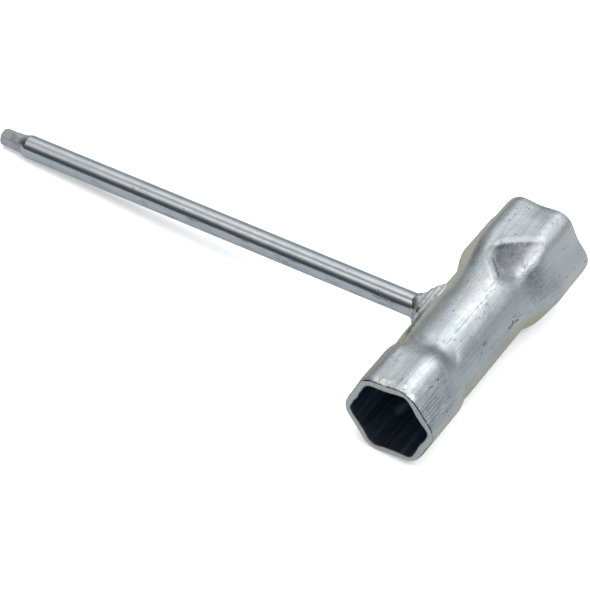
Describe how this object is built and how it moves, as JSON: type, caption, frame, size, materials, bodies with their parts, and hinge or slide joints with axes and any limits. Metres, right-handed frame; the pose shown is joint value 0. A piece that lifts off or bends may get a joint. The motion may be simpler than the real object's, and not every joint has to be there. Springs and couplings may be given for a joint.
{
  "type": "socket wrench",
  "caption": "T-handled tubular socket wrench: a tube with a pressed hexagon socket at each end, welded across a round bar that ends in a hexagon key.",
  "frame": {"origin": "the point where the bar's axis crosses the tube's axis, the centre about which the tool turns a nut", "axes": "+Y along the tube, from the smaller socket to the larger one; the bar runs along -X and ends in the hexagon key; +Z is square to the flat T, up when the tool is laid down"},
  "size_m": [0.1473, 0.071, 0.0248],
  "materials": {
    "zinc_tube": "satin bright zinc plate over drawn tube, with fine lengthwise lines, pits and a faint yellow tint",
    "zinc_bar": "shiny bright zinc plate over smooth round bar",
    "zinc_weld": "bright zinc plate over rippled weld metal"
  },
  "bodies": {
    "root": {"socket_tube": "zinc_tube", "handle_bar": "zinc_bar", "weld_bead": "zinc_weld"}
  },
  "joints": []
}
